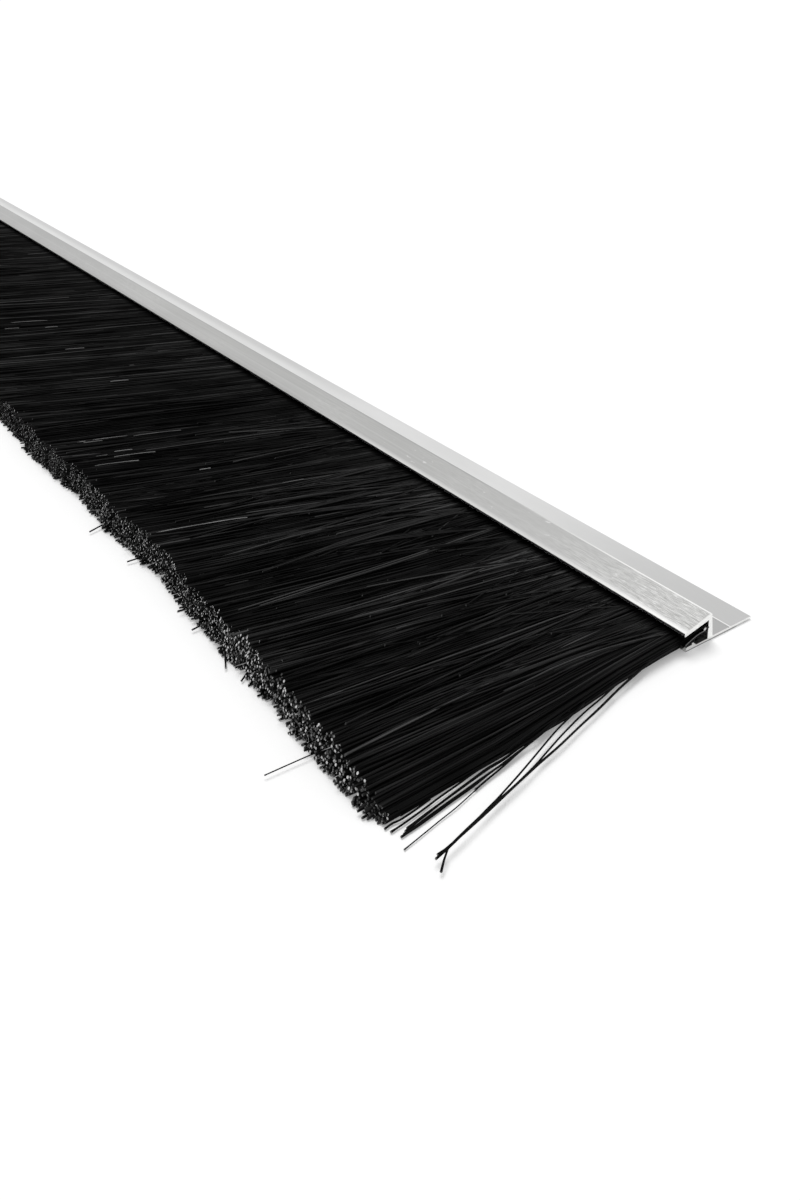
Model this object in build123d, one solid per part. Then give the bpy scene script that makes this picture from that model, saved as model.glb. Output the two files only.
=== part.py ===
from build123d import *
import math
import os
import random

# Frame: X along the strip with the open, splayed end at +X, Y across it with the bristles
# pointing to -Y, Z up. The origin is the middle of the fixing face, on the floor.

# Driving dimensions, in millimetres and degrees

strip_length = 1000.0

# Base plate and flange of the holder
holder_width = 27.0
flange_thickness = 1.1
floor_thickness = 0.9
nose_thickness = 1.5
edge_radius = 0.3
edge_flat = 0.04
relief_width = 6.0
relief_height = 0.35
groove_depth_from_edge = 9.6
groove_width = 0.6
groove_depth = 0.25

# Channel of the holder: back wall and sloping roof
channel_depth = 8.6
channel_height = 6.5
wall_lean = 9.0
wall_foot_thickness = 2.0
wall_top_thickness = 1.35
roof_slope = 12.5
roof_root_thickness = 1.9
lip_thickness = 1.4
lip_overhang = 1.5
ridge_radius = 0.7
foot_radius = 0.5
wall_notch_height = 0.9
wall_notch_depth = 0.4

# Barb on the channel's floor
barb_distance = 4.0
barb_length = 2.1
barb_thickness = 0.6
barb_lean = 50.0

# Core wire and the bristles' fold round it
wire_diameter = 1.0
wire_drop = 2.55
fold_thickness = 0.75
wire_clearance = 0.02
seat_clearance = 0.05

# Bristles outside the holder
bristle_reach = 98.5
floor_reach = 45.0
middle_height = 6.7
tip_height = 8.8
tip_slant = 0.32
edge_drop = 1.5
middle_drop = 0.5
edge_calm = 15.0
lean_most = 0.30
lean_spread = 130.0
end_splay = 0.045
splay_spread = 12.0

# Locks that the bristles gather in
lock_width = 3.2
lock_width_variation = 0.4
mouth_crest = 0.04
middle_crest = 0.45
tip_crest = 0.8
tip_raggedness = 0.7
lock_seed = 11

# Rises and falls of the row's top, and sideways drift of its locks: each wave's length and size at the tips
lift_waves = [(7.3, 0.3), (12.1, 0.3), (22.7, 0.35), (51.0, 0.35)]
drift_waves = [(13.7, 0.45), (29.0, 0.8), (61.0, 1.2)]
middle_lift = 0.75
middle_drift = 0.35

# Line of the tips: distance from the open end, how much further out than the usual reach
tip_line = [
    (-8, -1.0), (0, 1.1), (10, 2.4), (20, 1.9), (32, 1.6), (44, 0.2), (56, 0.3), (68, 0.6), (80, -0.2),
    (104, -0.5), (116, -1.6), (128, -1.8), (140, -0.9), (152, 0.3), (168, -0.6), (184, -0.5), (204, 0.1),
    (226, 0.8), (244, 0.0), (262, 0.1), (300, 0.8), (345, -0.6), (390, 0.9), (440, 1.8), (480, -0.4),
    (535, 0.6), (585, 1.9), (640, -0.5), (700, -0.9), (745, 1.2), (800, -0.2), (850, 1.7), (905, -0.6),
    (960, 1.0), (1010, 0.3),
]

# Single bristles that stand clear of the row
stray_diameter = 0.45
stray_sides = 8
stray_clearance = 0.25

# At the open end, from where each leaves the row to its tip: reach, distance past the row's edge, height
end_strays = [
    [(15, 0.35, 2.2), (22.5, 1.1, 1.9), (35, 3.2, 1.6), (61, 8.1, 1.7), (94.3, 15.4, 1.9), (96.9, 17.2, 1.5)],
    [(13, 0.35, 3.0), (35, 3.3, 2.3), (61, 8.2, 2.4), (94.3, 15.2, 2.6), (96.9, 15.5, 2.3)],
    [(31.8, 0.35, 2.4), (43.8, 3.0, 2.1), (61, 7.4, 1.7), (94, 14.7, 1.8), (97.6, 14.9, 1.4)],
    [(46.9, 0.35, 2.0), (55.2, 4.3, 1.9), (75.5, 10.0, 2.4), (94.5, 15.1, 3.2), (98.6, 18.7, 1.6)],
    [(48, 0.35, 2.2), (57.6, 1.9, 1.6), (72.8, 3.9, 1.0), (84.7, 6.4, 0.8), (100.2, 8.4, 0.6)],
    [(51, 0.35, 2.0), (64.3, 2.15, 1.2), (75.3, 3.3, 1.0), (91.2, 5.0, 0.9), (98.9, 5.4, 0.7)],
    [(55, 0.35, 1.8), (65.5, 1.45, 1.2), (76.7, 2.05, 1.0), (82.7, 3.15, 0.9), (97.1, 4.7, 0.8)],
    [(60, 0.35, 1.4), (78.5, 1.0, 1.0), (92.6, 2.7, 0.9), (98.5, 3.0, 0.8)],
    [(82, 0.35, 1.2), (95.1, 1.5, 0.8), (100.3, 1.4, 0.6)],
]

# Along the tips: distance of its lock from the open end, length past the lock, drift of its tip
tip_strays = [
    (20, 13.0, -0.6),
    (31, 2.5, 1.0),
    (47, 3.5, 1.2),
    (64, 4.0, -1.5),
    (98, 2.0, 0.8),
    (124, 3.5, -1.0),
    (139, 2.5, 1.0),
    (188, 2.5, -1.1),
    (262, 4.5, -1.4),
    (330, 2.5, 0.9),
    (401, 6.0, 1.3),
    (496, 3.0, -0.8),
    (585, 3.5, -1.2),
    (690, 2.5, 1.2),
    (772, 5.0, 0.8),
    (884, 3.0, -1.0),
]

# Places worked out from the dimensions; a section point is (Y, Z)

front_y = -holder_width / 2
back_y = holder_width / 2
mouth_y = front_y - lip_overhang
end_x = strip_length / 2


def step(point, angle, distance):
    """Point at a distance from another, along an angle measured from +Y towards +Z"""
    a = math.radians(angle)
    return (point[0] + distance * math.cos(a), point[1] + distance * math.sin(a))


def crossing(p, p_angle, q, q_angle):
    """Point where a line through p meets a line through q"""
    pc, ps = math.cos(math.radians(p_angle)), math.sin(math.radians(p_angle))
    qc, qs = math.cos(math.radians(q_angle)), math.sin(math.radians(q_angle))
    t = ((q[0] - p[0]) * qs - (q[1] - p[1]) * qc) / (pc * qs - ps * qc)
    return (p[0] + t * pc, p[1] + t * ps)


def heading(p, q):
    """Angle of the line from p to q"""
    return math.degrees(math.atan2(q[1] - p[1], q[0] - p[0]))


def tangent_point(p, centre, radius, side):
    """Where a line from p touches a circle; side is 1 above the circle and -1 below it"""
    distance = math.dist(p, centre)
    turn = math.degrees(math.asin(radius / distance))
    return step(p, heading(p, centre) + side * turn, math.sqrt(distance**2 - radius**2))


# Inner corners of the channel
wall_foot = (front_y + channel_depth, floor_thickness)
roof_root = (
    wall_foot[0] - channel_height * math.tan(math.radians(wall_lean)),
    floor_thickness + channel_height,
)
lip_inner = (mouth_y, roof_root[1] - (roof_root[0] - mouth_y) * math.tan(math.radians(roof_slope)))

# Wire, set so that the fold round it seats against the back wall
fold_radius = wire_diameter / 2 + wire_clearance + fold_thickness
wire_z = roof_root[1] - wire_drop
wall_at_wire = crossing(wall_foot, 90 + wall_lean, (0, wire_z), 0)
wire_centre = (
    wall_at_wire[0] - (fold_radius + seat_clearance) / math.cos(math.radians(wall_lean)),
    wire_z,
)

# Barb's corners
barb_root = (front_y + barb_distance, floor_thickness)
barb_angle = 90 + barb_lean
barb_tip_back = step(barb_root, barb_angle, barb_length)
barb_tip_front = step(barb_tip_back, barb_angle + 90, barb_thickness)
barb_front_root = crossing(barb_tip_front, barb_angle, (front_y, nose_thickness), 0)


def rounded(section, corner, radius):
    """Section with the corner nearest to a point rounded"""
    vertex = section.vertices().sort_by_distance(Vector(*corner))[0]
    return fillet(vertex, radius)


def holder_profile():
    """The extrusion: base plate, flange, back wall, roof and barb in one section"""
    foot_outer = step(wall_foot, wall_lean, wall_foot_thickness)
    top_outer = step(roof_root, wall_lean, wall_top_thickness)
    roof_outer = step(roof_root, 90 + roof_slope, roof_root_thickness)
    lip_outer = step(lip_inner, 90 + roof_slope, lip_thickness)
    wall_angle = heading(foot_outer, top_outer)
    ridge = crossing(top_outer, wall_angle, roof_outer, heading(lip_outer, roof_outer))
    wall_base = crossing(foot_outer, wall_angle, (back_y, flange_thickness), 0)
    relief_y = back_y - relief_width
    groove_y = back_y - groove_depth_from_edge
    outline = [
        (front_y, 0),
        (relief_y, 0),
        (relief_y, relief_height),
        (back_y, relief_height),
        (back_y, flange_thickness),
        (groove_y + groove_width / 2, flange_thickness),
        (groove_y, flange_thickness - groove_depth),
        (groove_y - groove_width / 2, flange_thickness),
        wall_base,
        ridge,
        lip_outer,
        lip_inner,
        roof_root,
        crossing(wall_foot, 90 + wall_lean, (0, wire_z + wall_notch_height / 2), 0),
        step(wall_at_wire, wall_lean, wall_notch_depth),
        crossing(wall_foot, 90 + wall_lean, (0, wire_z - wall_notch_height / 2), 0),
        wall_foot,
        barb_root,
        barb_tip_back,
        barb_tip_front,
        barb_front_root,
        (front_y, nose_thickness),
    ]
    section = make_face(Polyline(*outline, close=True))
    half_edge = (flange_thickness - relief_height - edge_flat) / 2
    section = rounded(section, (back_y, relief_height), half_edge)
    section = rounded(section, (back_y, flange_thickness), half_edge)
    section = rounded(section, ridge, ridge_radius)
    section = rounded(section, wall_base, foot_radius)
    section = rounded(section, lip_outer, edge_radius)
    section = rounded(section, lip_inner, edge_radius)
    section = rounded(section, (front_y, nose_thickness), edge_radius)
    return extrude(Plane.YZ * section, end_x, both=True)


def core_wire():
    """Round wire through the fold, cut flush with the holder"""
    section = Pos(*wire_centre) * Circle(wire_diameter / 2)
    return extrude(Plane.YZ * section, end_x, both=True)


def mouth_heights():
    """Lowest and highest point of the bristles where they leave the holder"""
    slope = heading((front_y, nose_thickness), barb_tip_back)
    low = nose_thickness + seat_clearance - lip_overhang * math.tan(math.radians(slope))
    return low, lip_inner[1] - seat_clearance


def folded_part():
    """Bristles inside the channel: two legs folded over the wire"""
    low, high = mouth_heights()
    over_barb = step(barb_tip_back, 90, seat_clearance)
    fold_top = tangent_point((mouth_y, high), wire_centre, fold_radius, 1)
    fold_low = tangent_point(over_barb, wire_centre, fold_radius, -1)
    fold_back = step(wire_centre, wall_lean, fold_radius)
    outline = Polyline(fold_low, over_barb, (front_y, nose_thickness + seat_clearance), (mouth_y, low))
    outline += Polyline((mouth_y, low), (mouth_y, high), fold_top)
    outline += ThreePointArc(fold_top, fold_back, fold_low)
    section = make_face(outline) - Pos(*wire_centre) * Circle(wire_diameter / 2 + wire_clearance)
    return extrude(Plane.YZ * section, end_x, both=True)


def lean(x):
    """Drift along the strip of a bristle, for each millimetre outwards, by its place at the mouth"""
    near = end_x - x
    far = end_x + x
    sway = lean_most * (1 - math.exp(-near / lean_spread)) * (1 - math.exp(-far / lean_spread))
    splay = end_splay * (math.exp(-near / splay_spread) - math.exp(-far / splay_spread))
    return splay - sway


def lock_borders():
    """Places at the mouth where one lock of bristles ends and the next begins"""
    count = round(strip_length / lock_width)
    rng = random.Random(lock_seed)
    widths = [rng.uniform(1 - lock_width_variation, 1 + lock_width_variation) for _ in range(count)]
    borders = [-end_x]
    for width in widths:
        borders.append(borders[-1] + width * strip_length / sum(widths))
    return borders


def along(values, reach):
    """Value at a reach, between those at the mouth, at the reach that meets the floor and at the tips"""
    mouth, middle, tip = values
    if reach <= floor_reach:
        return mouth + (middle - mouth) * reach / floor_reach
    return middle + (tip - middle) * (reach - floor_reach) / (bristle_reach - floor_reach)


def waves(sizes, x):
    """Sum of sine waves along the strip that dies away towards both ends"""
    calm = min(1, (end_x - abs(x)) / edge_calm)
    return calm * sum(size * math.sin(2 * math.pi * x / length + i) for i, (length, size) in enumerate(sizes))


def place(x, out):
    """Place along the strip of a bristle at a distance out of the mouth, by its place at the mouth"""
    return x + lean(x) * out + along((0, middle_drift, 1), out) * waves(drift_waves, x)


def tip_offset(distance):
    """How much further out the tips are than usual, at a distance from the open end"""
    for (near, low), (far, high) in zip(tip_line, tip_line[1:]):
        if distance <= far:
            return low + (high - low) * max(distance - near, 0) / (far - near)
    return tip_line[-1][1]


def lock_reaches(borders):
    """How far each lock reaches out of the mouth: the line of the tips and a ragged cut"""
    rng = random.Random(lock_seed + 1)
    reaches = []
    for left, right in zip(borders, borders[1:]):
        offset = tip_offset(end_x - place((left + right) / 2, bristle_reach))
        reaches.append(bristle_reach + offset + rng.uniform(-tip_raggedness, tip_raggedness))
    return reaches


def fan_point(x, reach, top, crest):
    """Point on the skin of the bristles outside the holder, on a lock's crest or on its border"""
    low, high = mouth_heights()
    depth = 0 if crest else along((mouth_crest, middle_crest, tip_crest), reach)
    if top:
        rise = along((0, middle_lift, 1), reach) * waves(lift_waves, x)
        drop = along((0, middle_drop, 1), reach) * edge_drop * (1 - min(1, (end_x - abs(x)) / edge_calm))
        z = along((high - seat_clearance, middle_height, tip_height), reach) + rise - drop - depth
    else:
        z = along((low + seat_clearance, 0, 0), reach) + depth
    out = reach - tip_slant * z if reach > floor_reach else reach
    return Vector(place(x, out), mouth_y - out, z)


def lock_side(border, crest, reach, next_reach, top):
    """Triangles from a lock's crest line to its border line, which a shorter neighbour divides"""
    edge = [fan_point(border, r, top, False) for r in (0, floor_reach)]
    spine = [fan_point(crest, r, top, True) for r in (0, floor_reach, reach)]
    if next_reach < reach:
        edge.append(fan_point(border, next_reach, top, False))
    edge.append(fan_point(border, reach, top, False))
    triangles = [(spine[0], edge[0], edge[1]), (spine[0], edge[1], spine[1])]
    triangles += [(spine[1], p, q) for p, q in zip(edge[1:], edge[2:])]
    triangles.append((spine[1], edge[-1], spine[2]))
    return triangles


def border_wall(border, start, end):
    """Upright face along a lock's border, between two reaches"""
    upper = [fan_point(border, reach, True, False) for reach in (start, end)]
    lower = [fan_point(border, reach, False, False) for reach in (end, start)]
    return upper + lower


def fan():
    """Closed skin of the bristles outside the holder, one lock beside the other"""
    borders = lock_borders()
    reaches = lock_reaches(borders)
    polygons = []
    mouth = {True: [], False: []}
    for i, reach in enumerate(reaches):
        left, right = borders[i], borders[i + 1]
        crest = (left + right) / 2
        beside = {left: reaches[max(i - 1, 0)], right: reaches[min(i + 1, len(reaches) - 1)]}
        for top in (True, False):
            for border, next_reach in beside.items():
                polygons += lock_side(border, crest, reach, next_reach, top)
            mouth[top] += [fan_point(left, 0, top, False), fan_point(crest, 0, top, True)]
        upper = [fan_point(left, reach, True, False), fan_point(crest, reach, True, True)]
        lower = [fan_point(right, reach, False, False), fan_point(crest, reach, False, True)]
        upper.append(fan_point(right, reach, True, False))
        lower.append(fan_point(left, reach, False, False))
        polygons.append(upper + lower)
        if beside[right] != reach:
            polygons.append(border_wall(right, reach, beside[right]))
    for top in (True, False):
        mouth[top].append(fan_point(borders[-1], 0, top, False))
    polygons.append(mouth[True] + mouth[False][::-1])
    for border, reach in ((borders[0], reaches[0]), (borders[-1], reaches[-1])):
        polygons.append(border_wall(border, 0, floor_reach))
        polygons.append(border_wall(border, floor_reach, reach))
    return Solid(Shell([Face(Wire.make_polygon(points)) for points in polygons]))


def bristle_pack():
    """The row of bristles: the fold in the channel and the fan outside it"""
    return fan() + folded_part()


def stray(points):
    """Single bristle along straight runs between points"""
    path = Polyline(*points)
    section = Plane(origin=points[0], z_dir=points[1] - points[0])
    section *= RegularPolygon(stray_diameter / 2, stray_sides)
    return sweep(section, path=path, transition=Transition.RIGHT)


def stray_bristles():
    """Bristles that stand clear of the row at its open end and along its tips"""
    strays = []
    for places in end_strays:
        points = [Vector(end_x + lean(end_x) * reach + past, mouth_y - reach, z) for reach, past, z in places]
        strays.append(stray(points))
    borders = lock_borders()
    reaches = lock_reaches(borders)
    radius = stray_diameter / 2
    root_height = radius + tip_crest
    for distance, length, drift in tip_strays:
        i = min(range(len(reaches)), key=lambda k: abs(borders[k] - (end_x - distance)))
        x = (borders[i] + borders[i + 1]) / 2
        out = reaches[i] - tip_slant * root_height + stray_clearance
        root = Vector(place(x, out), mouth_y - out, root_height)
        tip = Vector(root.X + drift, root.Y - length, radius)
        strays.append(stray([root, tip]))
    return Compound(strays)


def write(name, part):
    export_step(part, f"parts/{name}.step")


os.makedirs("parts", exist_ok=True)
write("holder_profile", holder_profile())
write("core_wire", core_wire())
write("bristle_pack", bristle_pack())
write("stray_bristles", stray_bristles())
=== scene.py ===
import math
import random

import bpy
import numpy as np
from mathutils import Matrix, Vector


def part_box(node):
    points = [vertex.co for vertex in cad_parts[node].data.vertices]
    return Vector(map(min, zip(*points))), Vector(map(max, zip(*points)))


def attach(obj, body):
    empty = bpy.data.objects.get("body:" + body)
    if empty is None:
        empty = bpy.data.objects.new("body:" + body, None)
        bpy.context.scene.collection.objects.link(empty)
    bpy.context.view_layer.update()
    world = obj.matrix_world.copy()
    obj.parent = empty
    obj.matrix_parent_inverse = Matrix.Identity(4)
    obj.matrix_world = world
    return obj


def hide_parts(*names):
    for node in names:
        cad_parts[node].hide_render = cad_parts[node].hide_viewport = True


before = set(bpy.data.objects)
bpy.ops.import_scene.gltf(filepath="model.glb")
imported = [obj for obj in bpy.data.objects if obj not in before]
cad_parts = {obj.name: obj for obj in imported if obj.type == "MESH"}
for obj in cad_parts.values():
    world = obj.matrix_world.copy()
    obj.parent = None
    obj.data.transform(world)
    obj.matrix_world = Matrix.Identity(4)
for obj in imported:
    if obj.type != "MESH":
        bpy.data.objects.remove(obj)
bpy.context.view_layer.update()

MM = 0.001

# Places from the frame, in metres: the strip lies along X and its bristles point to -Y
holder_low, holder_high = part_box("holder_profile")
wire_low, wire_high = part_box("core_wire")
end_x = holder_high[0]
mouth_y = holder_low[1] + 0.25 * MM  # just behind the lip's edge
wire_y = (wire_low[1] + wire_high[1]) / 2
wire_z = (wire_low[2] + wire_high[2]) / 2

# Bristles. The stretches with painted glints and the last strays are thin. A cut end is wider than its
# bristle
bristle_radius = 0.24 * MM
thin_radius = 0.15 * MM
cut_swell = 1.25
bristles_per_mm = 22
seed = 5

# Slots of the bristles' materials, in the order of bristle_looks
SIDE_BLACK, SIDE_SOFT, SIDE_SHINY, CUT_DARK, CUT_GREY, CUT_PALE, SIDE_PAINTED_GLINT = range(7)

# The row's pieces: sections along the strip, and one at the open end, in mm, with rounder bristles
far_sections = 5
far_sides = 3
close_length = 60.0
close_sides = 6

# The row, in mm: its length, the reach of its bristles and where they meet the floor
row_length = (holder_high[0] - holder_low[0]) / MM
bristle_reach = 98.5
floor_reach = 45.0

# Heights of the bristles' middles at the mouth, where they meet the floor and at the tips, in mm
lows = [1.45, 0.25, 0.25]
highs = [5.05, 6.45, 8.6]

# How much further in a tip lies for each mm of its height
tip_slant = 0.32

# The top drops towards the far end and the open end, over a length of edge_calm, in mm. Where the bristles
# meet the floor it drops by the middle share of that
edge_drop = 1.5
open_edge_drop = 3.2
middle_drop = 0.5
edge_calm = 15.0

# Locks that the bristles gather in, laid out as in the solid, in mm. The clefts between them have a depth
# at the mouth, where the bristles meet the floor and at the tips
lock_width = 3.2
lock_width_variation = 0.4
lock_seed = 11
clefts = [0.04, 0.45, 0.8]
tip_raggedness = 0.7

# Slow waves along the strip, each a length and a size in mm, and their shares where bristles meet the floor
lift_waves = [(7.3, 0.3), (12.1, 0.3), (22.7, 0.35), (51.0, 0.35)]
drift_waves = [(13.7, 0.45), (29.0, 0.8), (61.0, 1.2)]
middle_lift = 0.75
middle_drift = 0.35

# Fine waves shift sideways by up to their own length over this reach, in mm
fine_slide = 45

# Places in the row's height, from 0 to 1: a power below 1 sets more bristles high up, a share lies that
# much lower, and all of them change their place on the way to the tips
level_power = 0.75
low_share = 0.12
low_level = 0.12
level_change = 0.14

# Bristles that leave their lock, in mm at the tips: most keep to it, some wander, a few stray far. More of
# them do so near the open end, over some length
stray_limits = [0.66, 0.92]
stray_spreads = [0.4, 2.2, 5.5]
more_strays = 0.22
more_strays_over = 60

# Within edge_room of the row's edge, in mm, they are held in: they stray outwards by a small share of their
# distance from the edge, and by a large one of what is past edge_room
edge_room = 9
edge_share = 0.13
inner_share = 0.8

# How far bristles bow to a side halfway, in mm
bow_spread = 0.7

# Draws from 0 to 1 that decide a bristle's end: some cut short, a few too long, a few on top broken off
short_below = 0.03
long_above = 0.997
broken_between = (0.94, 0.98)
broken_level = 0.93

# Draws from 0 to 1 that decide a bristle's looks: a shiny side, or a pale or grey cut end. At the open end,
# and less and less over close_fade in mm, fewer ends are pale or grey, and the pale ones are wider
shiny_above = 0.97
pale_below, pale_less = 0.42, 0.32
grey_below, grey_less = 0.72, 0.42
pale_widening = 0.35
close_fade = 45

# Line of the tips, in mm: distance from the open end, how much further out than the usual reach
tip_line = [
    (-8, -1.0), (0, 1.1), (10, 2.4), (20, 1.9), (32, 1.6), (44, 0.2), (56, 0.3), (68, 0.6), (80, -0.2),
    (104, -0.5), (116, -1.6), (128, -1.8), (140, -0.9), (152, 0.3), (168, -0.6), (184, -0.5), (204, 0.1),
    (226, 0.8), (244, 0.0), (262, 0.1), (300, 0.8), (345, -0.6), (390, 0.9), (440, 1.8), (480, -0.4),
    (535, 0.6), (585, 1.9), (640, -0.5), (700, -0.9), (745, 1.2), (800, -0.2), (850, 1.7), (905, -0.6),
    (960, 1.0), (1010, 0.3),
]

# Drift of the bristles along the strip, in mm for each mm of reach, and how it fades towards the ends
lean_most = 0.30
lean_spread = 130.0

# Edge of the row at the open end, in mm: set in from the holder's end, then pushed out along the reach
edge_inset = 0.9
push_at = [0, 13, 29, 45, 60, 80, 95, 115]
push_out = [0, 0.6, 1.8, 3.9, 4.5, 5.4, 6.3, 7.0]
push_spread = 12.0

# Past these reaches, in mm, that edge runs out flat on the floor, in a wedge so wide and so much thinner
wedge_at = [40, 65]
wedge_width = 4.5
wedge_thinning = 0.8

# Single bristles at the open end and along the tips, in mm: distance past the end, reach out of the mouth,
# height. Those along the tips have negative distances
end_strays = [
    [(-0.5, 11.9, 2.9), (0.7, 17.3, 2.5), (2.4, 26.2, 2.0), (4.7, 35.4, 1.6), (6.8, 44.3, 1.5),
     (9.1, 52.9, 1.6), (11.3, 62.5, 1.7), (13.7, 71.8, 1.9), (16.1, 80.7, 2.1), (18.1, 89.0, 2.2),
     (19.3, 93.9, 2.2), (20.8, 96.0, 2.0), (21.7, 97.4, 1.7), (23.0, 98.8, 1.3)],
    [(-1.1, 9.4, 3.1), (0.5, 17.1, 2.8), (2.3, 26.1, 2.2), (4.7, 35.5, 1.9), (6.9, 44.4, 1.8),
     (9.2, 53.1, 1.9), (11.3, 62.5, 2.0), (13.8, 71.9, 2.2), (16.0, 80.7, 2.4), (18.2, 89.0, 2.5),
     (19.5, 94.0, 2.4), (20.1, 98.0, 2.0)],
    [(2.0, 28.1, 3.1), (3.1, 34.0, 2.6), (3.7, 38.0, 2.3), (4.6, 42.2, 2.1), (5.8, 46.6, 2.0),
     (7.2, 51.2, 2.0), (9.8, 58.7, 2.1), (11.1, 62.3, 2.2), (13.0, 68.8, 2.3), (14.5, 74.9, 2.4),
     (15.8, 80.5, 2.5), (18.0, 88.9, 2.6), (19.3, 93.9, 2.5), (19.6, 97.2, 2.3)],
    [(2.2, 38.6, 3.0), (3.6, 44.6, 2.5), (4.6, 48.8, 2.2), (5.7, 52.4, 2.0), (8.4, 59.9, 1.9),
     (11.1, 67.2, 2.0), (13.5, 74.0, 2.2), (14.6, 77.2, 2.3), (15.5, 80.2, 2.4), (17.3, 86.1, 2.5),
     (18.7, 91.6, 2.5), (19.4, 94.2, 2.4), (19.7, 96.3, 2.2)],
    [(1.5, 48.0, 3.0), (3.2, 60.3, 2.6), (4.0, 67.0, 2.0), (4.0, 71.5, 1.5), (4.2, 76.1, 1.0),
     (4.8, 80.5, 0.8), (5.4, 85.5, 0.7), (6.4, 91.7, 0.6), (7.1, 96.3, 0.6), (7.5, 100.4, 0.5)],
    [(1.2, 43.0, 2.9), (4.2, 56.1, 2.4), (4.1, 61.0, 1.8), (4.7, 66.4, 1.4), (4.6, 71.0, 1.0),
     (5.3, 76.3, 0.8), (6.1, 81.5, 0.7), (6.9, 86.6, 0.6), (7.7, 91.7, 0.6), (8.6, 96.9, 0.5)],
    [(1.0, 42.0, 2.7), (4.1, 54.7, 2.2), (4.1, 61.0, 1.6), (4.8, 66.4, 1.2), (4.9, 71.3, 0.9),
     (5.6, 76.5, 0.8), (6.4, 81.8, 0.8), (7.2, 86.9, 0.8), (8.2, 92.1, 0.8), (9.3, 97.9, 0.7)],
    [(1.3, 42.5, 2.4), (3.7, 54.0, 1.8), (4.7, 61.5, 1.3), (5.4, 66.9, 1.0), (5.7, 69.6, 0.8),
     (6.3, 74.8, 0.7), (7.0, 80.0, 0.6), (7.7, 85.1, 0.6), (8.5, 90.6, 0.6), (9.2, 95.2, 0.5),
     (9.6, 98.5, 0.5)],
    [(1.4, 44.0, 2.6), (3.8, 55.8, 2.0), (5.4, 63.6, 1.4), (5.8, 68.5, 1.1), (6.3, 72.5, 0.9),
     (7.2, 77.9, 0.7), (7.8, 82.9, 0.6), (8.5, 87.9, 0.5), (9.4, 94.0, 0.5), (9.9, 99.4, 0.5)],
    [(1.3, 43.0, 2.5), (3.7, 53.8, 2.0), (5.0, 61.7, 1.4), (6.1, 67.5, 0.9), (7.1, 73.1, 0.6),
     (8.1, 77.7, 0.5)],
    [(5.2, 88.1, 1.4), (5.7, 93.4, 0.9), (5.9, 96.7, 0.7), (5.7, 98.7, 0.6), (6.0, 100.9, 0.5)],
    [(-156.6, 95.7, 1.3), (-155.7, 99.5, 1.2), (-154.2, 104.3, 1.0)],
    [(-129.7, 94.4, 1.3), (-129.4, 97.9, 1.2), (-129.7, 101.9, 1.0)],
    [(-85.7, 96.0, 1.3), (-85.3, 99.3, 1.2), (-85.1, 101.9, 1.0)],
    [(-75.3, 97.0, 1.3), (-69.6, 99.7, 1.2), (-64.2, 102.3, 1.0)],
    [(-61.1, 96.2, 1.2), (-59.1, 98.8, 1.0), (-57.2, 101.5, 0.8)],
]
thin_strays = [
    [(1.3, 44.0, 2.8), (3.8, 55.6, 2.2), (5.2, 61.9, 1.6), (6.4, 67.8, 1.1), (7.4, 73.4, 0.8),
     (8.6, 79.0, 0.6), (10.0, 84.6, 0.6), (10.9, 89.7, 0.5), (12.2, 96.1, 0.5), (13.1, 100.9, 0.4)],
    [(-22.4, 94.5, 0.4), (-22.4, 98.0, 0.7), (-22.5, 101.0, 1.2), (-22.7, 107.4, 1.2), (-22.8, 114.0, 1.2)],
]

# Single bristles with painted glints on top of the row, in mm: distance past the open end, reach at both
# ends
glint_lines = [
    (-188.2, 81.0, 67.0), (-182.5, 90.1, 75.5), (-207.0, 90.0, 84.5), (-203.5, 86.0, 79.5),
    (-206.7, 82.2, 69.3), (-201.6, 68.0, 51.0), (-180.6, 62.5, 55.5), (-192.5, 86.2, 82.0),
    (-193.3, 78.9, 72.7), (-162.7, 60.4, 56.5), (-353.8, 67.4, 61.3), (-359.6, 62.8, 46.8),
    (-344.1, 51.3, 45.8), (-307.5, 55.0, 47.1), (-260.0, 53.4, 46.3), (-244.9, 79.9, 74.7),
    (-127.7, 93.0, 64.0), (-139.3, 41.6, 34.0),
]


def lean(x, out):
    """Drift along the strip of bristles at their places at the mouth, at a reach outwards, all in mm"""
    near = row_length / 2 - x
    far = row_length / 2 + x
    sway = lean_most * (1 - np.exp(-near / lean_spread)) * (1 - np.exp(-far / lean_spread))
    splay = np.exp(-near / push_spread) - np.exp(-far / push_spread)
    return np.interp(out, push_at, push_out) * splay - sway * out


def calm(x):
    """1 along the row, down to 0 at its two ends"""
    return np.clip((row_length / 2 - np.abs(x)) / edge_calm, 0, 1)


def along(values, out):
    """Value at a reach, between those at the mouth, at the reach that meets the floor and at the tips"""
    return np.interp(out, [0, floor_reach, bristle_reach], values)


def waves(sizes, x):
    """Sum of sine waves along the strip that dies away towards both ends"""
    total = sum(size * np.sin(2 * math.pi * x / length + i) for i, (length, size) in enumerate(sizes))
    return calm(x) * total


def place_along(x, out):
    """Where along the strip the row's bristles are at a reach outwards, from their places at the mouth"""
    return x + lean(x, out) + along([0, middle_drift, 1], out) * waves(drift_waves, x)


def row_paths(x, out, height):
    """Paths in metres, from places along the strip, reaches out of the mouth and heights, all in mm"""
    return np.stack([x * MM, mouth_y - out * MM, height * MM], axis=-1)


def lock_borders():
    """Places at the mouth where one lock of bristles ends and the next begins, in mm"""
    rng = random.Random(lock_seed)
    spread = (1 - lock_width_variation, 1 + lock_width_variation)
    widths = np.array([rng.uniform(*spread) for _ in range(round(row_length / lock_width))])
    return np.concatenate([[0], np.cumsum(widths)]) * row_length / widths.sum() - row_length / 2


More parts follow.
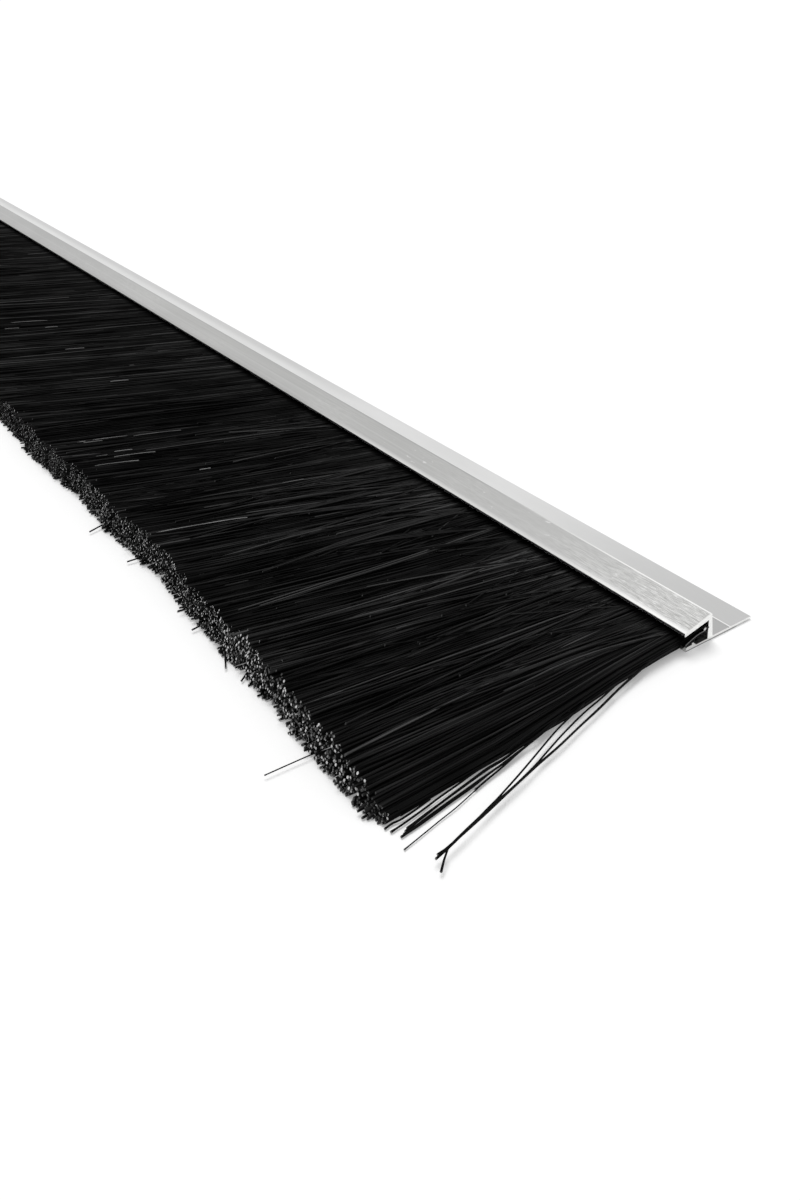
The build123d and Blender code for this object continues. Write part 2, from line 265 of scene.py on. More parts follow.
def lock_reaches(borders):
    """How far each lock reaches out of the mouth, in mm"""
    rng = random.Random(lock_seed + 1)
    x = (borders[1:] + borders[:-1]) / 2
    tips = place_along(x, bristle_reach)
    offsets = np.interp(row_length / 2 - tips, *zip(*tip_line))
    return bristle_reach + offsets + np.array([rng.uniform(-tip_raggedness, tip_raggedness) for _ in x])


def row_top(x, out):
    """Height of the bristles on top of the row, without the clefts between its locks, in mm"""
    rise = along([0, middle_lift, 1], out) * waves(lift_waves, x)
    drop = along([0, middle_drop, 1], out) * np.where(x > 0, open_edge_drop, edge_drop) * (1 - calm(x))
    return along(highs, out) + rise - drop


def fine_waves(places, out, widths, rng):
    """Noise between about -1 and 1, much the same for bristles side by side, that shifts along them"""
    total = 0
    for width in widths:
        slide = rng.uniform(-1, 1) * 2 * math.pi / fine_slide
        total = total + np.sin(2 * math.pi * places / width + slide * out + rng.uniform(0, 2 * math.pi))
    return total / math.sqrt(len(widths))


def tube_mesh(name, paths, radius, sides, materials, side_slots, end_slots, slant, swell=cut_swell):
    """Mesh of many tubes at once, from paths as (tubes, stations, 3). Radius, slots, slant and swell are
    one value or one for each tube. The slots name the material of its side and of its cap at the last
    station; the slant cuts that cap to face upwards and the swell makes it wider"""
    tubes, stations, _ = paths.shape
    radius, side_slots, end_slots, slant, swell = (
        np.broadcast_to(value, tubes) for value in (radius, side_slots, end_slots, slant, swell))
    ahead = np.gradient(paths, axis=1)
    ahead /= np.linalg.norm(ahead, axis=2, keepdims=True)
    side = np.cross(ahead, np.array([0.0, 0.0, 1.0]))
    side /= np.linalg.norm(side, axis=2, keepdims=True)
    up = np.cross(side, ahead)
    angles = np.arange(sides) * 2 * math.pi / sides + math.pi / 2
    ring = (side[:, :, None, :] * np.cos(angles)[None, None, :, None]
            + up[:, :, None, :] * np.sin(angles)[None, None, :, None])
    verts = paths[:, :, None, :] + ring * radius[:, None, None, None]
    verts[:, -1] += ring[:, -1] * (radius * (swell - 1))[:, None, None]
    above = np.sin(angles)[None, :] + 1
    verts[:, -1] -= ahead[:, -1, None, :] * (above * (slant * radius)[:, None])[:, :, None]
    index = np.arange(tubes * stations * sides).reshape(tubes, stations, sides)
    a, b = index[:, :-1, :], index[:, 1:, :]
    a_next, b_next = np.roll(a, -1, axis=2), np.roll(b, -1, axis=2)
    quads = np.stack([a, a_next, b_next, b], axis=-1).reshape(-1, 4)
    tips = index[:, -1, :]
    roots = index[:, 0, ::-1]
    loops = np.concatenate([quads.ravel(), tips.ravel(), roots.ravel()])
    starts = np.concatenate([np.arange(len(quads)) * 4,
                             len(quads) * 4 + np.arange(2 * tubes) * sides])
    mesh = bpy.data.meshes.new(name)
    mesh.vertices.add(tubes * stations * sides)
    mesh.vertices.foreach_set("co", verts.astype(np.float32).ravel())
    mesh.loops.add(len(loops))
    mesh.loops.foreach_set("vertex_index", loops.astype(np.int32))
    mesh.polygons.add(len(starts))
    mesh.polygons.foreach_set("loop_start", starts.astype(np.int32))
    smooth = np.concatenate([np.ones(len(quads), bool), np.zeros(2 * tubes, bool)])
    mesh.polygons.foreach_set("use_smooth", smooth)
    slots = np.concatenate([np.repeat(side_slots, (stations - 1) * sides), end_slots, side_slots])
    for material in materials:
        mesh.materials.append(material)
    mesh.polygons.foreach_set("material_index", slots.astype(np.int32))
    mesh.update(calc_edges=True)
    mesh.validate()
    piece = bpy.data.objects.new(name, mesh)
    bpy.context.scene.collection.objects.link(piece)
    return piece


def curve_through(points, stations):
    """Evenly timed points on a smooth curve through a few places"""
    points = np.array(points, float)
    ends = np.vstack([2 * points[0] - points[1], points, 2 * points[-1] - points[-2]])
    steps = np.linalg.norm(np.diff(points, axis=0), axis=1)
    marks = np.concatenate([[0], np.cumsum(steps)])
    result = []
    for mark in np.linspace(0, marks[-1], stations):
        i = min(np.searchsorted(marks, mark, side="right") - 1, len(points) - 2)
        u = (mark - marks[i]) / steps[i]
        p0, p1, p2, p3 = ends[i:i + 4]
        result.append(0.5 * (2 * p1 + (p2 - p0) * u + (2 * p0 - 5 * p1 + 4 * p2 - p3) * u ** 2
                             + (3 * p1 - p0 - 3 * p2 + p3) * u ** 3))
    return np.array(result)


def new_material(name):
    material = bpy.data.materials.new(name)
    material.use_nodes = True
    nodes, links = material.node_tree.nodes, material.node_tree.links
    return material, nodes, links, nodes["Principled BSDF"]


def grey(level):
    return (level,) * 3


def feed(links, value, socket):
    """Sets a socket to a number or a colour, or links it to another socket"""
    if isinstance(value, (int, float)):
        socket.default_value = value
    elif isinstance(value, tuple):
        socket.default_value = (*value, 1)
    else:
        links.new(value, socket)


def calculate(nodes, links, operation, *values):
    node = nodes.new("ShaderNodeMath")
    node.operation = operation
    for value, socket in zip(values, node.inputs):
        feed(links, value, socket)
    return node.outputs[0]


def map_range(nodes, links, value, span, low, high, curve="LINEAR"):
    """From low to high while the value goes from one end of its span to the other"""
    node = nodes.new("ShaderNodeMapRange")
    node.interpolation_type = curve
    node.inputs["From Min"].default_value, node.inputs["From Max"].default_value = span
    node.inputs["To Min"].default_value = low
    node.inputs["To Max"].default_value = high
    links.new(value, node.inputs["Value"])
    return node.outputs["Result"]


def component(nodes, links, vector, axis):
    node = nodes.new("ShaderNodeSeparateXYZ")
    links.new(vector, node.inputs["Vector"])
    return node.outputs[axis]


def noise(nodes, links, scale, stretch=(1, 1, 1), detail=3.0):
    """Noise over the object's own coordinates, stretched by axis"""
    place = nodes.new("ShaderNodeTexCoord")
    mapping = nodes.new("ShaderNodeMapping")
    mapping.inputs["Scale"].default_value = stretch
    texture = nodes.new("ShaderNodeTexNoise")
    texture.inputs["Scale"].default_value = scale
    texture.inputs["Detail"].default_value = detail
    links.new(place.outputs["Object"], mapping.inputs["Vector"])
    links.new(mapping.outputs["Vector"], texture.inputs["Vector"])
    return texture.outputs["Fac"]


def ramp(nodes, links, value, low, high, low_at=0.3, high_at=0.7):
    """From one colour to another; most noise lies between the two default places"""
    node = nodes.new("ShaderNodeValToRGB")
    node.color_ramp.elements[0].position = low_at
    node.color_ramp.elements[0].color = (*low, 1)
    node.color_ramp.elements[1].position = high_at
    node.color_ramp.elements[1].color = (*high, 1)
    links.new(value, node.inputs["Fac"])
    return node.outputs["Color"]


def roughness(nodes, links, value, low, high, shader):
    """Roughness that follows a noise"""
    links.new(map_range(nodes, links, value, (0.3, 0.7), low, high), shader.inputs["Roughness"])


def bump(nodes, links, value, shader, strength, distance):
    node = nodes.new("ShaderNodeBump")
    node.inputs["Strength"].default_value = strength
    node.inputs["Distance"].default_value = distance
    links.new(value, node.inputs["Height"])
    links.new(node.outputs["Normal"], shader.inputs["Normal"])


def mix(nodes, links, share, first, second, mode="MIX"):
    """Colour between two colours; each value is a socket or numbers"""
    node = nodes.new("ShaderNodeMix")
    node.data_type = "RGBA"
    node.blend_type = mode
    for name, value in (("Factor", share), ("A", first), ("B", second)):
        feed(links, value, node.inputs[name])
    return node.outputs["Result"]


def across(nodes, links, axis, start, stop, first=0.0, last=1.0, origin=0.0):
    """From one value to another over a stretch of one of the object's own axes, in mm from the origin"""
    place = nodes.new("ShaderNodeTexCoord").outputs["Object"]
    value = component(nodes, links, place, axis)
    span = (origin + start * MM, origin + stop * MM)
    return map_range(nodes, links, value, span, first, last, "SMOOTHSTEP")


def by_end(nodes, links, start, stop, first=0.0, last=1.0):
    """The same over a stretch of the strip, by its distances from the open end in mm"""
    return across(nodes, links, "X", -start, -stop, first, last, end_x)


def facing(nodes, links, axis):
    """1 where the surface faces along an axis, either way, and 0 where it doesn't"""
    geometry = nodes.new("ShaderNodeNewGeometry")
    size = calculate(nodes, links, "ABSOLUTE", component(nodes, links, geometry.outputs["Normal"], axis))
    return map_range(nodes, links, size, (0.8, 0.95), 0.0, 1.0)


def seen_directly(nodes, links):
    """1 for rays from the camera, from a gloss or through glass, 0 for the rest"""
    path = nodes.new("ShaderNodeLightPath")
    total = path.outputs["Is Camera Ray"]
    for name in ("Is Glossy Ray", "Is Transmission Ray"):
        total = calculate(nodes, links, "MAXIMUM", total, path.outputs[name])
    return total


def nylon(name, dark, light, gloss):
    """Black filament with slow changes of tone along it and greyer patches of painted sheen. Near the open
    end painted light makes it paler grey before the mouth, and painted shade makes it blackest in the mouth
    itself"""
    material, nodes, links, shader = new_material(name)
    tone = noise(nodes, links, 900, (0.3, 0.02, 1))
    colour = ramp(nodes, links, tone, grey(dark), grey(light))

    # Painted light: paler grey near the open end, before the mouth
    painted_light_grey = ramp(nodes, links, tone, grey(dark), grey(light + 0.0065), 0.42, 0.66)
    painted_light_grey = mix(nodes, links, across(nodes, links, "Y", -75, -22), colour, painted_light_grey)
    painted_light_share = calculate(nodes, links, "MULTIPLY", by_end(nodes, links, 230, 60),
                           by_end(nodes, links, 45, 8, 1.0, 0.3))
    colour = mix(nodes, links, painted_light_share, colour, painted_light_grey)

    # Painted sheen: greyer patches in the base colour
    patches = noise(nodes, links, 75, (1.2, 0.5, 1.2), 2.0)
    patches = ramp(nodes, links, patches, grey(0), grey(gloss * 0.11))
    colour = mix(nodes, links, 1.0, colour, patches, "ADD")

    # Painted shade in the mouth, under the lip
    painted_mouth_shade = across(nodes, links, "Y", -18.5, -15.8)
    colour = mix(nodes, links, painted_mouth_shade, colour, grey(0.001))
    links.new(colour, shader.inputs["Base Color"])
    roughness(nodes, links, noise(nodes, links, 400, (1, 0.1, 1)), 0.30, 0.48, shader)
    shader.inputs["Specular IOR Level"].default_value = gloss * 0.5
    return material


def cut_end(name, dark, light):
    """Sheared end of a filament, rough and paler than its side"""
    material, nodes, links, shader = new_material(name)
    tone = noise(nodes, links, 2500)
    links.new(ramp(nodes, links, tone, grey(dark), grey(light)), shader.inputs["Base Color"])
    roughness(nodes, links, tone, 0.5, 0.7, shader)
    return material


def flange_tone(nodes, links, patches):
    """The flange: pale along the back wall, and with painted reflection darker at the cut end and, far out,
    at its free edge
    """
    plain = ramp(nodes, links, patches, (0.69, 0.69, 0.687), (0.74, 0.74, 0.737))
    # Painted reflection: the free edge darker far out
    free_edge = across(nodes, links, "Y", 7, 11.5)
    far_out = mix(nodes, links, free_edge, plain, (0.585, 0.585, 0.583))
    plain = mix(nodes, links, by_end(nodes, links, 260, 165), far_out, plain)
    off_wall = across(nodes, links, "Y", -1, 2.5)
    plain = mix(nodes, links, off_wall, (0.82, 0.82, 0.815), plain)
    # Painted reflection: darker towards the cut end
    plain = mix(nodes, links, by_end(nodes, links, 100, 0), plain, (0.56, 0.56, 0.557))

    # A step in tone on the wall's side of the groove, and a pale line on the groove's lit side, a painted
    # highlight
    wall_side = across(nodes, links, "Y", 4.3, 4.1)
    plain = mix(nodes, links, wall_side, plain, mix(nodes, links, 0.30, plain, grey(0.2)))
    painted_groove_highlight = mix(nodes, links, across(nodes, links, "Y", 4.7, 4.6), grey(0), grey(1))
    painted_groove_highlight = mix(nodes, links, across(nodes, links, "Y", 4.2, 4.3), grey(0), painted_groove_highlight)
    return mix(nodes, links, painted_groove_highlight, plain, (0.86, 0.86, 0.855))


def roof_tone(nodes, links, patches, lines, short_lines):
    """The roof: drawing lines, scuffs, rubs and nicks, more of them near the open end, painted reflection
    and the lip
    """
    base = ramp(nodes, links, lines, (0.43, 0.43, 0.423), (0.49, 0.49, 0.483))
    # Painted reflection: darker far from the open end, brighter near it
    base = mix(nodes, links, by_end(nodes, links, 350, 450), base, (0.41, 0.41, 0.405))
    base = mix(nodes, links, by_end(nodes, links, 150, 20), base, (0.52, 0.52, 0.515))

    scuffed = ramp(nodes, links, short_lines, (0.36, 0.36, 0.35), (0.86, 0.86, 0.85), 0.38, 0.66)
    scuff_share = mix(nodes, links, by_end(nodes, links, 75, 15),
                      ramp(nodes, links, patches, grey(0.02), grey(0.22), 0.42, 0.62),
                      ramp(nodes, links, patches, grey(0.15), grey(0.65), 0.40, 0.60))
    tone = mix(nodes, links, scuff_share, base, scuffed)

    last = by_end(nodes, links, 55, 5)
    rubs = noise(nodes, links, 420, (0.9, 26, 26), 4.0)
    rubs = ramp(nodes, links, rubs, grey(0), grey(1), 0.54, 0.66)
    rubs = mix(nodes, links, last, grey(0), rubs)
    tone = mix(nodes, links, last, tone, mix(nodes, links, 0.6, tone, scuffed))
    tone = mix(nodes, links, rubs, tone, (0.95, 0.95, 0.94))

    nicks = noise(nodes, links, 330, (0.8, 1.6, 1), 4.0)
    nicks = ramp(nodes, links, nicks, grey(0), grey(0.45), 0.675, 0.72)
    nicks = mix(nodes, links, by_end(nodes, links, 160, 110), grey(0), nicks)
    tone = mix(nodes, links, nicks, tone, grey(0.9))

    # The lip has a painted highlight near the open end and a painted dim reflection further out
    bright = mix(nodes, links, 0.7, tone, (0.76, 0.76, 0.755))
    bright = mix(nodes, links, last, bright, (0.96, 0.96, 0.955))
    dim = mix(nodes, links, 0.7, tone, (0.40, 0.40, 0.395))
    lip_tone = mix(nodes, links, by_end(nodes, links, 210, 130), dim, bright)
    return mix(nodes, links, across(nodes, links, "Y", -13.3, -15.0), tone, lip_tone)


def aluminium_material():
    """Mill finish: drawing lines along the strip, coarser on the roof, painted highlights and shade on the
    edges, bright sawn ends
    """
    material, nodes, links, shader = new_material("drawn_aluminium")
    lines = noise(nodes, links, 30, (0.5, 60, 60), 4.0)
    short_lines = noise(nodes, links, 160, (1.6, 42, 42), 5.0)
    patches = noise(nodes, links, 26, (0.8, 3, 3), 2.0)
    flange = flange_tone(nodes, links, patches)
    roof = roof_tone(nodes, links, patches, lines, short_lines)

    # From the roof over its ridge and down the back wall to the flange, and the barb and lip past the roof
    # Along the ridge: a painted highlight near the open end, a painted dark shade line further out
    ridge = mix(nodes, links, by_end(nodes, links, 110, 15), (0.37, 0.37, 0.365), (0.92, 0.92, 0.91))
    skin = mix(nodes, links, across(nodes, links, "Y", -5.92, -5.84), roof, ridge)
    skin = mix(nodes, links, across(nodes, links, "Z", 8.3, 7.6), skin, (0.76, 0.76, 0.755))
    skin = mix(nodes, links, across(nodes, links, "Z", 4.0, 1.5), skin, flange)
    skin = mix(nodes, links, across(nodes, links, "Y", -10, -11), skin, roof)

    # Sawn ends, with a painted shadow line along the floor
    sawn = noise(nodes, links, 900, (1, 1, 5))
    sawn = ramp(nodes, links, sawn, (0.76, 0.76, 0.75), (0.92, 0.92, 0.91))
    sawn = mix(nodes, links, across(nodes, links, "Z", 0.45, 0.15), sawn, grey(0.16))
    links.new(mix(nodes, links, facing(nodes, links, "X"), skin, sawn), shader.inputs["Base Color"])
    roughness(nodes, links, short_lines, 0.28, 0.42, shader)
    bump(nodes, links, short_lines, shader, 0.25, 0.04 * MM)
    shader.inputs["Metallic"].default_value = 1.0
    return material


def wire_material():
    material, nodes, links, shader = new_material("bright_steel")
    streaks = noise(nodes, links, 500, (0.05, 1, 1))
    links.new(ramp(nodes, links, streaks, grey(0.40), grey(0.58)), shader.inputs["Base Color"])
    roughness(nodes, links, streaks, 0.2, 0.4, shader)
    shader.inputs["Metallic"].default_value = 1.0
    return material


def ride_as(piece, node):
    """The piece stands for a node of bristles"""
    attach(piece, "root")
    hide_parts(node)


def bristle_row(materials):
    """Every bristle of the row, full length, in sections along the strip"""
    rng = np.random.default_rng(seed)
    stop = row_length / 2 - edge_inset
    count = int(2 * stop * bristles_per_mm)
    x = -stop + (np.arange(count) + rng.uniform(0, 1, count)) * 2 * stop / count
    room = stop - np.abs(x)

    # Level is the place in the row's height, 0 below and 1 on top, and s the share of a bristle's length
    level = rng.uniform(0, 1, count) ** level_power
    level = np.where(rng.uniform(0, 1, count) < low_share, level * low_level, level)
    s = np.array([-0.03, 0.08, 0.24, 0.44, 0.66, 0.86, 1.0])[None, :]

    # How far a bristle lies from the crest of its lock: 1 or -1 at the lock's borders
    borders = lock_borders()
    reaches = lock_reaches(borders)
    lock = np.searchsorted(borders, x) - 1
    crest = (borders[lock] + borders[lock + 1]) / 2
    aside = (x - crest) / (borders[lock + 1] - borders[lock]) * 2

    # Most keep to their lock, some wander across the others and a few stray far, more near the open end
    kind = rng.uniform(0, 1, count) + more_strays * np.exp((x - row_length / 2) / more_strays_over)
    spread = np.array(stray_spreads)[np.searchsorted(stray_limits, kind, side="right")]
    most = edge_share * np.minimum(room, edge_room) + inner_share * np.maximum(room - edge_room, 0)
    outward = np.minimum(rng.normal(0, 1, count) * spread, most)
    held_in = np.maximum(outward, -edge_room) * np.clip(room / 5, 0.1, 1)
    outward = np.where(room < edge_room, held_in, outward)
    stray = outward * np.sign(x)
    bow = rng.normal(0, bow_spread, count) * np.clip(room / 6, 0.05, 1)
    tip_level = np.clip(level + rng.normal(0, level_change, count), 0, 1)

    # Ends: a little past the lock's reach, more so at the row's edges and in small groups, slanted back
    # with height, with some cut short, some long and some broken off, which lie on top of the others
    ends = reaches[lock] + 0.8 + rng.normal(0, 0.35, count)
    ends += np.interp(room, [0, 30, 50], [0.9, 0.9, 0])
    ends += np.clip(fine_waves(x, 0, [4.7, 7.9, 13.1], rng) - 1.1, 0, 0.6) * rng.uniform(0, 4, count)
    tip_top = row_top(x, ends) - clefts[2] * np.abs(aside)
    ends -= tip_slant * (lows[2] + tip_level * (tip_top - lows[2]))
    fate = rng.uniform(0, 1, count)
    ends = np.where(fate < short_below, ends - rng.uniform(1, 5, count), ends)
    ends = np.where(fate > long_above, ends + rng.uniform(1.0, 2.5, count), ends)
    broken = (fate > broken_between[0]) & (fate < broken_between[1]) & (level > broken_level)
    ends = np.where(broken, rng.uniform(15, 90, count), ends)

    # Along the strip: gathered in small bunches once they are out of the mouth, less so at the row's edges
    out = s * ends[:, None]
    places = x[:, None]
    freed = np.clip(out / 30, 0, 1)
    tame = np.clip(room / 6, 0, 1)[:, None]
    gather = fine_waves(places, out, [1.7, 2.3, 3.4], rng) * 0.3 - 0.12 * (x - crest)[:, None]
    px = (place_along(places, out) + stray[:, None] * np.abs(out / bristle_reach) ** 1.4
          + bow[:, None] * np.sin(math.pi * s) + gather * freed * tame)

    # Heights: between the floor and the top of the lock, and in a wedge at the open end's edge
    low = along(lows, out)
    high = row_top(places, out) - along(clefts, out) * np.abs(aside)[:, None]
    thinned = np.where(x > 0, np.interp(room, [0, wedge_width], [wedge_thinning, 0]), 0)[:, None]
    high = high - thinned * np.interp(out, wedge_at, [0, 1]) * (high - low)
    share = level[:, None] + (tip_level - level)[:, None] * s
    fine = fine_waves(places, out, [1.9, 2.7, 4.1], rng) * 0.28 * level[:, None]
    pz = low + share * (high - low) + fine * freed
    pz[broken] += 0.25
    paths = row_paths(px, out, pz)
    paths[:, :, 2] = np.maximum(paths[:, :, 2], bristle_radius)
    paths[:, -1, 0] += rng.normal(0, 0.18 * MM, count)
    paths[:, -1, 2] += np.abs(rng.normal(0, 0.15 * MM, count))

    # Sides: softer black in streaks a few filaments wide, with a few shiny ones. The streaks have their own
    # random numbers
    tone = rng.uniform(0, 1, count)
    soft_share = 0.25 + 0.32 * fine_waves(x, 0, [2.3, 3.9, 6.7], np.random.default_rng(seed + 5))
    soft_share = np.clip(soft_share, 0.03, 0.8)
    side_slots = np.where(tone < soft_share, SIDE_SOFT, SIDE_BLACK)
    side_slots = np.where(tone > shiny_above, SIDE_SHINY, side_slots)

    # Cut ends: about two in five are pale far along the strip, fewer but wider ones at the open end. None
    # sinks into the floor
    close = np.exp((x - stop) / close_fade)
    pick = rng.uniform(0, 1, count)
    end_slots = np.where(pick < grey_below - grey_less * close, CUT_GREY, CUT_DARK)
    end_slots = np.where(pick < pale_below - pale_less * close, CUT_PALE, end_slots)
    end_slots[broken] = CUT_DARK
    swell = np.where(end_slots == CUT_PALE, cut_swell + pale_widening * close, cut_swell)
    paths[:, -1, 2] = np.maximum(paths[:, -1, 2], bristle_radius * swell)
    slant = rng.uniform(0.1, 1.0, count)

    edges = np.append(np.linspace(-stop, stop - close_length, far_sections + 1), stop + 1)
    for i, sides in enumerate([far_sides] * far_sections + [close_sides]):
        chosen = (x >= edges[i]) & (x < edges[i + 1])
        piece = tube_mesh(f"bristles_{i + 1}", paths[chosen], bristle_radius, sides, materials,
                          side_slots[chosen], end_slots[chosen], slant[chosen], swell[chosen])
        ride_as(piece, "bristle_pack")


def lay_on_top(name, materials, rng, x, drift, bow, ends, above, own_range, side_shares):
    """Bristles on top of the row that cross the others. Each has a place at the mouth, a drift and a bow
    along the strip and a length. above(s, out) is their height over the row at a share of the length and
    a reach, and each adds its own from a range. All are in mm; the shares are those of the sides' looks"""
    count = len(x)
    s = np.linspace(0, 1, 12)[None, :]
    out = s * ends[:, None]
    places = x[:, None]
    px = places + lean(places, out) + drift[:, None] * s + bow[:, None] * np.sin(math.pi * s)
    own = rng.uniform(*own_range, count)[:, None] * np.clip(out / 12, 0, 1)
    pz = row_top(places, out) + above(s, out) + own
    side_slots = rng.choice([SIDE_BLACK, SIDE_SOFT, SIDE_SHINY], count, p=side_shares)
    piece = tube_mesh(name, row_paths(px, out, pz), bristle_radius, 5, materials, side_slots, CUT_DARK, 0.5)
    ride_as(piece, "bristle_pack")


def wanderers(materials):
    """Shinier single bristles that cross the others, half of them anywhere and half near the open end"""
    rng = np.random.default_rng(seed + 2)
    anywhere, near = 55, 55
    count = anywhere + near
    x_anywhere = rng.uniform(-470, 485, anywhere)
    x_near = row_length / 2 - 4 - rng.uniform(0, 1, near) ** 1.3 * 180
    x = np.concatenate([x_anywhere, x_near])
    drift = rng.choice([-1, 1], count) * rng.uniform(2, 11, count)
    drift[anywhere:] *= rng.uniform(1, 1.7, near)
    drift = np.where(x > row_length / 2 - 25, -np.abs(drift), drift)  # none of them leaves the open end
    bow = rng.normal(0, 1.8, count)
    ends = np.where(rng.uniform(0, 1, count) < 0.3, rng.uniform(40, 88, count), 94)
    ends[anywhere:] = rng.uniform(18, 70, near)
    lay_on_top("bristles_on_top", materials, rng, x, drift, bow, ends,
               lambda s, out: np.interp(out, [0, 12, floor_reach], [0, 0.1, 0.35]),
               (-0.6, 0.1), [0.45, 0.45, 0.1])


def tufts(materials):
    """Small tufts near the open end that leave the mouth together and cross the others"""
    rng = np.random.default_rng(seed + 4)
    tuft_count, tuft_size = 34, 4
    count = tuft_count * tuft_size
    middle = row_length / 2 - 4 - rng.uniform(0, 1, tuft_count) ** 1.2 * 130
    turn = rng.choice([-1, 1], tuft_count) * rng.uniform(4, 13, tuft_count)
    turn = np.where(middle > row_length / 2 - 22, -np.abs(turn), turn)  # none of them leaves the open end
    x = np.repeat(middle, tuft_size) + rng.normal(0, 0.35, count)
    drift = np.repeat(turn, tuft_size) + rng.normal(0, 0.7, count)
    bow = np.repeat(rng.normal(0, 1.2, tuft_count), tuft_size) + rng.normal(0, 0.3, count)
    ends = np.repeat(rng.uniform(45, 88, tuft_count), tuft_size) + rng.normal(0, 3, count)
    lay_on_top("bristle_tufts", materials, rng, x, drift, bow, ends,
               lambda s, out: np.interp(s, [0, 0.15, 0.4, 0.75, 1], [-0.3, 0.15, 0.6, 0.45, -0.8]),
               (-0.2, 0.15), [0.35, 0.55, 0.1])


def glints(materials):
    """Pale stretches as painted glints, each coming out of the row and going back into it"""
    s = np.linspace(0, 1, 9)
    paths = []
    for end, outer, inner in glint_lines:
        # Closes in on the place at the mouth of the bristle that drifts to the place asked for
        x = place = row_length / 2 + end
        for _ in range(5):
            x = place - lean(x, outer) - waves(drift_waves, x)
        out = outer + (inner - outer) * s
        height = row_top(x, out) + 0.2 - 0.012 * (outer - inner) * (2 * s - 1) ** 4
        paths.append(row_paths(place_along(x, out), out, height))
    piece = tube_mesh("painted_glint_bristles", np.array(paths), thin_radius, 5, materials, SIDE_PAINTED_GLINT, CUT_DARK, 0.5)
    ride_as(piece, "bristle_pack")


def stray_row(materials):
    """The single bristles that stand clear of the row"""
    rng = np.random.default_rng(seed + 1)
    paths = [curve_through(points, 32) for points in end_strays + thin_strays]
    paths = np.array(paths) * MM
    radii = np.array([bristle_radius] * len(end_strays) + [thin_radius] * len(thin_strays))
    paths = np.stack([end_x + paths[:, :, 0], mouth_y - paths[:, :, 1], paths[:, :, 2]], axis=-1)
    end_slots = rng.choice([CUT_DARK, CUT_GREY], len(paths))
    piece = tube_mesh("stray_filaments", paths, radii, 8, materials, SIDE_BLACK, end_slots, 0.3)
    ride_as(piece, "stray_bristles")


def channel_fill(materials):
    """Folded bristles in the channel, seen in its open ends: a dark wad of loops round the wire, and one
    grey bristle along the fold just inside the end, grey as a painted highlight"""
    rng = np.random.default_rng(seed + 3)
    count = 150
    fold_radius = 1.2 * MM
    mouth_low, mouth_high = lows[0] * MM, highs[0] * MM
    wire = np.array([wire_y, wire_z])
    u = np.linspace(0, 1, 14)
    # Path of the bristle whose grey is a painted highlight, along the fold
    painted_highlight_bristle = [(-0.05, wire_y / MM, wire_z / MM - 0.5), (-0.05, wire_y / MM - 2.6, wire_z / MM - 0.75),
            (-0.05, wire_y / MM - 5.0, wire_z / MM - 1.55),
            (-0.05, mouth_y / MM + 1.0, mouth_low / MM + 0.9)]
    for side, name in ((1, "fold_open_end"), (-1, "fold_far_end")):
        paths = []
        for x in side * (end_x - rng.uniform(0.25, 2.5, count) * MM):
            grow = rng.uniform(0.62, 1.0)
            radius = fold_radius * grow
            upper_mouth, lower_mouth = (
                np.array([mouth_y, mouth_low + (mouth_high - mouth_low) * (0.5 + half * grow * draw)])
                for half, draw in ((0.5, rng.uniform(0.8, 1.0)), (-0.5, rng.uniform(0.8, 1.0))))
            top = wire + np.array([-0.2 * radius, radius])
            back = wire + np.array([radius, 0])
            under = wire + np.array([-0.2 * radius, -radius])
            loop = [upper_mouth, (upper_mouth + top) / 2, top, back,
                    under, (under + lower_mouth) / 2, lower_mouth]
            flat = curve_through([(0, *p) for p in loop], len(u))
            flat[:, 0] = x + rng.normal(0, 0.05 * MM) * np.sin(math.pi * u)
            paths.append(flat)
        side_slots = rng.choice([SIDE_BLACK, SIDE_SOFT], count, p=[0.9, 0.1])
        piece = tube_mesh(name, np.array(paths), bristle_radius * 0.95, 4, materials,
                          side_slots, CUT_DARK, 0)
        ride_as(piece, "bristle_pack")
        line = curve_through(painted_highlight_bristle, 12) * MM
        line[:, 0] = side * (end_x + line[:, 0])
        piece = tube_mesh(name + "_seam", line[None], bristle_radius * 0.6, 6, materials,
                          CUT_GREY, CUT_GREY, 0)
        ride_as(piece, "bristle_pack")


def floor(tone, glow):
    """Pale floor just under the object, with its shadow and a glow that makes it look white"""
    bpy.ops.mesh.primitive_plane_add(size=12, location=(0, 0, -0.02 * MM))
    plane = bpy.context.object
    plane.name = "floor"
    material, nodes, links, _ = new_material("white_floor")
    nodes.clear()
    output = nodes.new("ShaderNodeOutputMaterial")
    diffuse = nodes.new("ShaderNodeBsdfDiffuse")
    diffuse.inputs["Color"].default_value = (*grey(tone), 1)
    emission = nodes.new("ShaderNodeEmission")
    strength = calculate(nodes, links, "MULTIPLY", seen_directly(nodes, links), glow)
    links.new(strength, emission.inputs["Strength"])
    both = nodes.new("ShaderNodeAddShader")
    links.new(diffuse.outputs[0], both.inputs[0])
    links.new(emission.outputs[0], both.inputs[1])
    links.new(both.outputs[0], output.inputs["Surface"])
    plane.data.materials.append(material)


def surroundings(lighting, seen):
    """Even white surroundings, with one brightness as they light the object and one as they are seen"""
    world = bpy.data.worlds.new("studio")
    bpy.context.scene.world = world
    world.use_nodes = True
    nodes, links = world.node_tree.nodes, world.node_tree.links
    background = nodes["Background"]
    background.inputs["Color"].default_value = (1, 1, 1, 1)
    strength = map_range(nodes, links, seen_directly(nodes, links), (0.0, 1.0), lighting, seen)
    links.new(strength, background.inputs["Strength"])


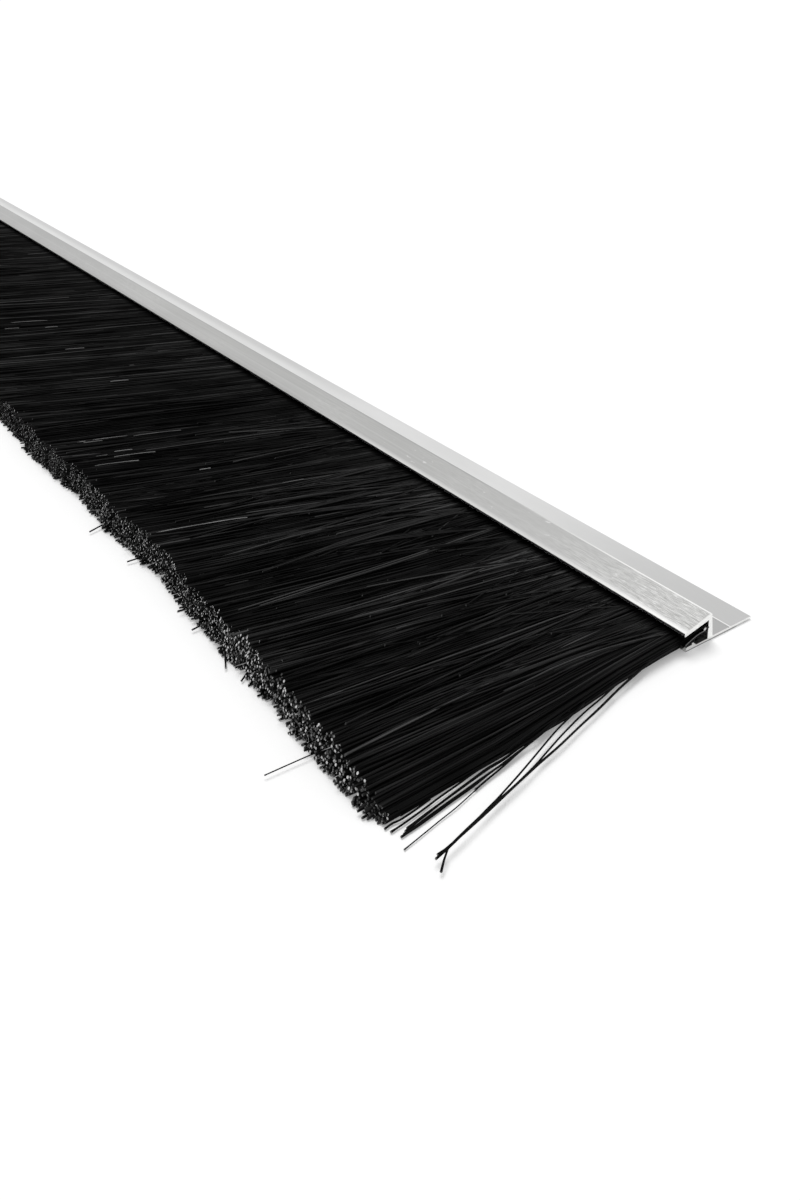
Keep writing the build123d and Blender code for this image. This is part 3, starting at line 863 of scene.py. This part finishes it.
def soft_sun(strength, spread, source):
    """Large soft light high over the object; the same level all over the floor"""
    data = bpy.data.lights.new("softbox", "SUN")
    data.energy = strength
    data.angle = math.radians(spread)
    sun = bpy.data.objects.new("softbox", data)
    sun.rotation_euler = Vector(source).to_track_quat("Z", "Y").to_euler()
    sun.visible_glossy = False
    bpy.context.scene.collection.objects.link(sun)


def camera():
    """Close to the open end, looking along the strip and down, as solved from the photo's straight edges"""
    yaw, pitch = math.radians(54.374), math.radians(33.284)
    focal_pixels, photo_height, sensor = 1005.7, 1200, 36
    place = Vector((end_x + 132.14 * MM, -202.23 * MM, 159.41 * MM))
    forward = Vector((-math.sin(yaw) * math.cos(pitch), math.cos(yaw) * math.cos(pitch), -math.sin(pitch)))
    right = Vector((math.cos(yaw), math.sin(yaw), 0))
    up = right.cross(forward)
    data = bpy.data.cameras.new("camera")
    data.lens = focal_pixels * sensor / photo_height
    data.sensor_width = sensor
    data.clip_start = 0.01
    eye = bpy.data.objects.new("camera", data)
    axes = Matrix((right, up, -forward)).transposed().to_4x4()
    eye.matrix_world = Matrix.Translation(place) @ axes
    bpy.context.scene.collection.objects.link(eye)
    bpy.context.scene.camera = eye


def dress(node, material):
    """Gives a part of the CAD its material"""
    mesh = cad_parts[node].data
    mesh.materials.clear()
    mesh.materials.append(material)


# In the order of the slots named above
bristle_looks = [
    nylon("nylon_black", 0.001, 0.0035, 0.06),
    nylon("nylon_soft", 0.003, 0.008, 0.16),
    nylon("nylon_shine", 0.010, 0.022, 0.4),
    cut_end("cut_dark", 0.01, 0.05),
    cut_end("cut_grey", 0.10, 0.28),
    cut_end("cut_pale", 0.45, 0.85),
    # Pale base colour as painted glints
    nylon("nylon_painted_glint", 0.03, 0.30, 0.5),
]
bristle_row(bristle_looks)
wanderers(bristle_looks)
tufts(bristle_looks)
glints(bristle_looks)
stray_row(bristle_looks)
channel_fill(bristle_looks)
dress("holder_profile", aluminium_material())
dress("core_wire", wire_material())
floor(tone=0.8, glow=0.22)
surroundings(lighting=0.5, seen=1.0)
soft_sun(strength=1.8, spread=36, source=(-0.36, 0.14, 0.92))
camera()
bpy.context.scene.view_settings.view_transform = "Standard"
